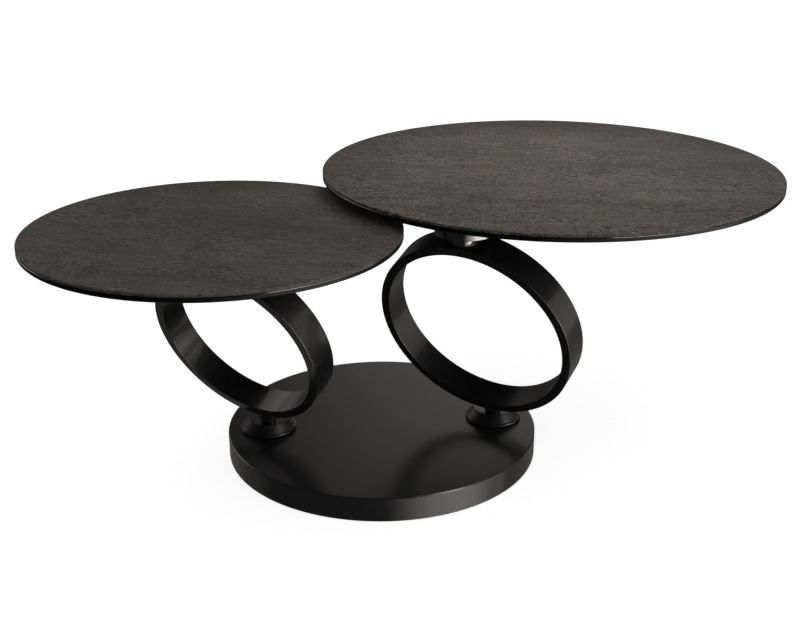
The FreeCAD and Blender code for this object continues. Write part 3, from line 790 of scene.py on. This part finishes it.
class SWIVELTABLE_OT_stems(bpy.types.Operator):
    """Make the stems under the rings, with their journals and threaded ends"""

    bl_idname = "swivel_table.stems"
    bl_label = "Stems"

    def execute(self, context):
        sizes = context.scene.swivel_table_sizes
        for side in SIDES:
            x, y = lower_pivot(side)
            low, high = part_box(side + "_lower_spindle")
            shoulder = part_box(side + "_lower_flange")[1].z + SHOULDER_GAP
            thread_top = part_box(side + "_thrust_washer")[1].z
            top = high.z + STEM_SINK
            outline = softened([
                (0, low.z, 0),
                (THREAD_RADIUS, low.z, FULL),
                (THREAD_RADIUS, thread_top, TIGHT),
                (JOURNAL_RADIUS, thread_top, FINE),
                (JOURNAL_RADIUS, shoulder, TIGHT),
                (sizes.stem_radius, shoulder, sizes.stem_edge),
                (sizes.stem_radius, top, FINE),
                (0, top, 0),
            ])
            mesh = to_mesh(side + "_stem", [(turned(outline, STEM_FACETS), at(x, y, 0))])
            add_piece(side + "_stem", mesh, side + "_ring_body",
                      finish("satin_black"), [side + "_lower_spindle"])
        return {"FINISHED"}


class SWIVELTABLE_OT_rings(bpy.types.Operator):
    """Make the two leaning rings from the ring band tree"""

    bl_idname = "swivel_table.rings"
    bl_label = "Rings"

    def execute(self, context):
        sizes = context.scene.swivel_table_sizes
        tree = band_tree()
        for side in SIDES:
            mesh = run_tree(side + "_band", tree, {
                "Outer Radius": getattr(sizes, side + "_ring_radius"),
                "Wall": sizes.ring_wall,
                "Width": sizes.ring_width,
                "Edge": sizes.ring_edge,
                "Corner Steps": CORNER_STEPS,
                "Facets": sizes.facets,
                "Material": finish("satin_black"),
            })
            if not len(mesh.polygons):
                raise RuntimeError("the ring band tree made nothing")
            mesh.transform(ring_place(side))
            add_piece(side + "_ring_band", mesh, side + "_ring_body",
                      finish("satin_black"), [side + "_ring"])
        return {"FINISHED"}


class SWIVELTABLE_OT_hubs(bpy.types.Operator):
    """Make the hubs and collars on top of the rings"""

    bl_idname = "swivel_table.hubs"
    bl_label = "Hubs"

    def execute(self, context):
        sizes = context.scene.swivel_table_sizes
        for side in SIDES:
            x, y = upper_pivot(side)
            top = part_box(side + "_upper_hub")[1].z
            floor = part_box(side + "_upper_bush")[0].z
            radius = getattr(sizes, side + "_ring_radius")
            ring_high = ring_place(side) @ Vector((radius, 0, 0))
            foot = ring_high.z - sizes.ring_wall * HUB_SINK
            post = turned(softened([
                (0, foot, 0),
                (sizes.hub_radius, foot, FINE),
                (sizes.hub_radius, top, FULL),
                (BUSH_BORE, top, FINE),
                (BUSH_BORE, floor, TIGHT),
                (0, floor, 0),
            ]), FLANGE_FACETS)
            collar = turned(softened([
                (0, radius - COLLAR_SINK, 0),
                (sizes.collar_radius, radius - COLLAR_SINK, FINE),
                (sizes.collar_radius, radius + sizes.collar_height, SOFT),
                (0, radius + sizes.collar_height, 0),
            ]), FLANGE_FACETS)
            to_radial = ring_place(side) @ Matrix.Rotation(math.pi / 2, 4, "Y")
            mesh = to_mesh(side + "_hub", [(post, at(x, y, 0)), (collar, to_radial)])
            add_piece(side + "_hub", mesh, side + "_ring_body",
                      finish("gloss_black"), [side + "_upper_hub"])
        return {"FINISHED"}


class SWIVELTABLE_OT_upper_flanges(bpy.types.Operator):
    """Make the flanges under the tops, each with a skirt round its hub"""

    bl_idname = "swivel_table.upper_flanges"
    bl_label = "Upper Flanges"

    def execute(self, context):
        sizes = context.scene.swivel_table_sizes
        for side in SIDES:
            x, y = upper_pivot(side)
            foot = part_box(side + "_upper_flange")[0].z
            skirt = sizes.skirt_depth
            height = skirt + sizes.flange_height
            shape = turned(softened([
                (PIN_HOLE, skirt, FINE),
                (sizes.flange_neck, skirt, SOFT),
                (sizes.flange_neck, 0, SOFT),
                (sizes.flange_radius, 0, BROAD),
                (sizes.flange_radius, height, BROAD),
                (PLATE_SEAT, height, TIGHT),
                (PLATE_SEAT, height - PLATE_DEPTH, TIGHT),
                (PIN_HEAD_SEAT, height - PLATE_DEPTH, TIGHT),
                (PIN_HEAD_SEAT, height - PIN_HEAD_DEPTH, TIGHT),
                (PIN_HOLE, height - PIN_HEAD_DEPTH, TIGHT),
            ]), FLANGE_FACETS)
            mesh = to_mesh(side + "_under_flange", [(shape, at(x, y, foot))])
            add_piece(side + "_top_flange", mesh, side + "_top_body",
                      finish("gloss_black"), [side + "_upper_flange"])
        return {"FINISHED"}


def slab_mesh(name, node, radius, edge, soft, facets):
    """A thin disc with chamfered edges, their corners rounded by soft, where a CAD slab is."""
    low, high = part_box(node)
    middle = (low + high) / 2
    thickness = high.z - low.z
    outline = softened([
        (0, 0, 0),
        (radius - edge, 0, soft),
        (radius, edge, soft),
        (radius, thickness - edge, soft),
        (radius - edge, thickness, soft),
        (0, thickness, 0),
    ], steps=SLAB_STEPS)
    return to_mesh(name, [(turned(outline, facets), at(middle.x, middle.y, low.z))])


class SWIVELTABLE_OT_ceramic_tops(bpy.types.Operator):
    """Make the two stone-look ceramic slabs"""

    bl_idname = "swivel_table.ceramic_tops"
    bl_label = "Ceramic Tops"

    def execute(self, context):
        sizes = context.scene.swivel_table_sizes
        for side in SIDES:
            node = side + "_ceramic_top"
            mesh = slab_mesh(side + "_slab", node, getattr(sizes, side + "_top_radius"),
                             sizes.ceramic_edge, CERAMIC_SOFT, sizes.facets)
            stone = stone_ceramic(side, node, context.scene.swivel_table_colours)
            add_piece(side + "_stone_top", mesh, side + "_top_body", stone,
                      [node])
        return {"FINISHED"}


class SWIVELTABLE_OT_glass_plates(bpy.types.Operator):
    """Make the two black glass plates under the ceramic"""

    bl_idname = "swivel_table.glass_plates"
    bl_label = "Glass Plates"

    def execute(self, context):
        sizes = context.scene.swivel_table_sizes
        for side in SIDES:
            node = side + "_glass_plate"
            mesh = slab_mesh(side + "_glass", node, getattr(sizes, side + "_top_radius"),
                             sizes.glass_edge, TIGHT, sizes.facets)
            add_piece(side + "_glass_disc", mesh, side + "_top_body",
                      finish("black_glass"), [node])
        return {"FINISHED"}


class SWIVELTABLE_OT_hardware(bpy.types.Operator):
    """Give every piece that keeps its CAD shape its finish"""

    bl_idname = "swivel_table.hardware"
    bl_label = "Hardware Finishes"

    def execute(self, context):
        slots = {part["node"]: part["material_slot"] for part in frame["record"]["subparts"]}
        for name, node in frame["nodes"].items():
            if slots[name] in FINISHES:
                for slot in node.material_slots:
                    slot.material = finish(slots[name])
        return {"FINISHED"}


class SWIVELTABLE_OT_studio(bpy.types.Operator):
    """Set up the floor, the lights, the background and the camera"""

    bl_idname = "swivel_table.studio"
    bl_label = "Studio"

    def execute(self, context):
        scene = context.scene
        scene.view_settings.view_transform = "Standard"
        add_floor()
        add_world(scene)
        add_tent()
        add_lamp()
        add_camera(scene)
        return {"FINISHED"}


# ---------------------------------------------------------------------------
# Studio
# ---------------------------------------------------------------------------
FLOOR_RADIUS = 12.0
FLOOR_THICKNESS = 0.01
FLOOR_FACETS = 128
FLOOR_GLOW = 0.8
SKY_LIGHT = 0.41


def seen_directly(net):
    """1 for the rays that should meet the plain background, and 0 for diffuse light."""
    camera, glossy, through = net.node("ShaderNodeLightPath", output=(
        "Is Camera Ray", "Is Glossy Ray", "Is Transmission Ray"))
    return net.maths("MAXIMUM", camera, net.maths("MAXIMUM", glossy, through))


def add_stage(name, shape, material):
    """A part of the studio, as a mesh that is not part of the table."""
    thing = bpy.data.objects.new(name, to_mesh(name, [(shape, at(0, 0, 0))]))
    bpy.context.scene.collection.objects.link(thing)
    thing.data.materials.append(material)
    return thing


def add_floor():
    """A plain white floor that keeps a soft shadow.

    Reflections don't meet it: the tent stands for all that they show.
    """
    net = Finish("floor white")
    tint = net.noise(net.place, 3.0, 2.0)
    white = net.node("ShaderNodeBsdfDiffuse", None,
                     {"Color": net.mix(tint, (0.79, 0.79, 0.79), (0.81, 0.81, 0.81))})
    glow = net.node("ShaderNodeEmission", None, {"Strength": seen_directly(net) * FLOOR_GLOW})
    both = net.node("ShaderNodeAddShader", None, {0: white, 1: glow})
    net.node("ShaderNodeOutputMaterial", None, {"Surface": both})
    disc = turned([(0, 0), (FLOOR_RADIUS, 0), (FLOOR_RADIUS, -FLOOR_THICKNESS),
                   (0, -FLOOR_THICKNESS)], FLOOR_FACETS)
    floor = add_stage("floor", disc, net.material)
    floor.visible_glossy = False


def add_world(scene):
    """An even white surround, dimmer for the light that it throws than for the eye."""
    scene.world = bpy.data.worlds.new("surround")
    scene.world.use_nodes = True
    net = Net(scene.world.node_tree)
    net.tree.nodes.clear()
    level = SKY_LIGHT + (1 - SKY_LIGHT) * seen_directly(net)
    sky = net.node("ShaderNodeBackground", None,
                   {"Color": (1.0, 1.0, 1.0, 1.0), "Strength": level})
    net.node("ShaderNodeOutputWorld", None, {"Surface": sky})


# Each panel of the reflection tent: azimuth from and to, the softness of those two edges,
# elevation from and to, the softness of those two, and the brightness. Angles are in degrees.
TENT_AMBIENT = 0.05
TENT_PANELS = (
    (-74, -22, 40, 32, -75, -24, 16, 10, 2.3),
    (-30, 5, 40, 3, -75, -24, 16, 10, 0.45),
    (-86, -10, 34, 10, -20, 8, 12, 12, 2.2),
    (-62, -8, 26, 10, -20, 8, 12, 12, 3.8),
    (-46, -14, 8, 8, 52, 70, 6, 10, 10.0),
    (-42, -24, 6, 6, 14, 52, 6, 8, 7.0),
    (-12, 14.5, 16, 2, -14, 26, 24, 16, 0.6),
    (-12, 60, 30, 20, -40, -6, 10, 10, 0.1),
    (-14, 8, 8, 6, 43, 62, 6, 10, 5.0),
    (8, 40, 8, 12, 34, 50, 5, 10, 3.2),
    (115, 150, 5, 14, 27, 60, 3, 26, 0.45),
    (115, 150, 5, 14, 2, 60, 10, 26, 0.38),
    (104, 116, 10, 4, 2, 60, 10, 26, 0.12),
    (128, 156, 12, 12, 12, 36, 10, 10, 0.8),
    (46, 89, 14, 22, 6, 34, 14, 14, 0.62),
    (92, 172, 14, 14, -45, -20, 14, 14, 0.09),
    (-160, -95, 20, 20, -50, -28, 10, 6, 0.06),
    (130, 175, 14, 14, -75, -48, 14, 14, 0.3),
)
TENT_TINT = (1.0, 0.96, 0.92, 1.0)
TENT_RADIUS = 6.0
TENT_ROWS = 32
TENT_FACETS = 64


def add_tent():
    """A dark tent with bright panels round the table, which only reflections meet."""
    net = Finish("tent")
    ray = net.node("ShaderNodeVectorMath", {"operation": "NORMALIZE"}, {0: net.place})
    x, y, z = net.node("ShaderNodeSeparateXYZ", None, {"Vector": ray}, output=("X", "Y", "Z"))
    azimuth = net.maths("ARCTAN2", y, x) * math.degrees(1)
    elevation = net.maths("ARCSINE", z) * math.degrees(1)
    light = TENT_AMBIENT
    for left, right, left_soft, right_soft, low, high, low_soft, high_soft, level in TENT_PANELS:
        wide = azimuth.between(left - left_soft / 2, left + left_soft / 2) * (
            1 - azimuth.between(right - right_soft / 2, right + right_soft / 2))
        tall = elevation.between(low - low_soft / 2, low + low_soft / 2) * (
            1 - elevation.between(high - high_soft / 2, high + high_soft / 2))
        light = light + wide * tall * level
    glow = net.node("ShaderNodeEmission", None, {"Color": TENT_TINT, "Strength": light})
    net.node("ShaderNodeOutputMaterial", None, {"Surface": glow})
    net.material.cycles.emission_sampling = "NONE"
    turns = [math.pi * step / TENT_ROWS for step in range(TENT_ROWS + 1)]
    outline = [(TENT_RADIUS * math.sin(turn), -TENT_RADIUS * math.cos(turn)) for turn in turns]
    outline[0], outline[-1] = (0, -TENT_RADIUS), (0, TENT_RADIUS)
    tent = add_stage("reflection_tent", turned(outline, TENT_FACETS), net.material)
    tent.visible_camera = tent.visible_diffuse = tent.visible_shadow = False
    tent.visible_transmission = tent.visible_volume_scatter = False


LAMP_PLACE = (0.302, 0.163, 0.813)
LAMP_SIZE = 0.4
LAMP_RADIANCE = 2.06


def add_lamp():
    """A soft square lamp close above the higher top, which shines straight down."""
    data = bpy.data.lights.new("overhead", "AREA")
    data.shape = "SQUARE"
    data.size = LAMP_SIZE
    data.energy = LAMP_RADIANCE * LAMP_SIZE * LAMP_SIZE * math.pi
    lamp = bpy.data.objects.new("overhead", data)
    bpy.context.scene.collection.objects.link(lamp)
    lamp.location = LAMP_PLACE
    lamp.visible_camera = lamp.visible_glossy = False


CAMERA_PLACE = (-0.15085, -1.72602, 0.90091)
CAMERA_HEADING = (0.104182, 0.994558)
CAMERA_DROP = 21.488
CAMERA_LENS = 52.68
CAMERA_SENSOR = 36.0


def add_camera(scene):
    """The camera, a little above the tops and looking down on them."""
    data = bpy.data.cameras.new("camera")
    data.sensor_width = CAMERA_SENSOR
    data.lens = CAMERA_LENS
    camera = bpy.data.objects.new("camera", data)
    scene.collection.objects.link(camera)
    drop = math.radians(CAMERA_DROP)
    look = Vector((CAMERA_HEADING[0] * math.cos(drop), CAMERA_HEADING[1] * math.cos(drop),
                   -math.sin(drop)))
    camera.location = CAMERA_PLACE
    camera.rotation_euler = look.to_track_quat("-Z", "Y").to_euler()
    scene.camera = camera


# ---------------------------------------------------------------------------
# Panel, registration and the run
# ---------------------------------------------------------------------------
OPERATORS = (
    SWIVELTABLE_OT_base_drum,
    SWIVELTABLE_OT_lower_flanges,
    SWIVELTABLE_OT_stems,
    SWIVELTABLE_OT_rings,
    SWIVELTABLE_OT_hubs,
    SWIVELTABLE_OT_upper_flanges,
    SWIVELTABLE_OT_glass_plates,
    SWIVELTABLE_OT_ceramic_tops,
    SWIVELTABLE_OT_hardware,
    SWIVELTABLE_OT_studio,
)


class SWIVELTABLE_PT_pieces(bpy.types.Panel):
    """Lists the sizes, the colours and the operators"""

    bl_idname = "SWIVELTABLE_PT_pieces"
    bl_label = "Swivel Table"
    bl_space_type = "VIEW_3D"
    bl_region_type = "UI"
    bl_category = "Swivel Table"

    def draw(self, context):
        layout = self.layout
        for group in (context.scene.swivel_table_sizes, context.scene.swivel_table_colours):
            box = layout.box()
            for name in group.__annotations__:
                box.prop(group, name)
        for operator in OPERATORS:
            layout.operator(operator.bl_idname)


CLASSES = (SwivelTableSizes, SwivelTableColours, *OPERATORS, SWIVELTABLE_PT_pieces)


def register():
    """Registers the classes and puts the two property groups on the scene."""
    for cls in CLASSES:
        bpy.utils.register_class(cls)
    bpy.types.Scene.swivel_table_sizes = PointerProperty(type=SwivelTableSizes)
    bpy.types.Scene.swivel_table_colours = PointerProperty(type=SwivelTableColours)


def unregister():
    """Takes the property groups and the classes away again."""
    del bpy.types.Scene.swivel_table_colours
    del bpy.types.Scene.swivel_table_sizes
    for cls in reversed(CLASSES):
        bpy.utils.unregister_class(cls)


def main():
    """Builds everything."""
    register()
    bpy.ops.swivel_table.base_drum()
    bpy.ops.swivel_table.lower_flanges()
    bpy.ops.swivel_table.stems()
    bpy.ops.swivel_table.rings()
    bpy.ops.swivel_table.hubs()
    bpy.ops.swivel_table.upper_flanges()
    bpy.ops.swivel_table.glass_plates()
    bpy.ops.swivel_table.ceramic_tops()
    bpy.ops.swivel_table.hardware()
    bpy.ops.swivel_table.studio()


if __name__ == "__main__":
    main()
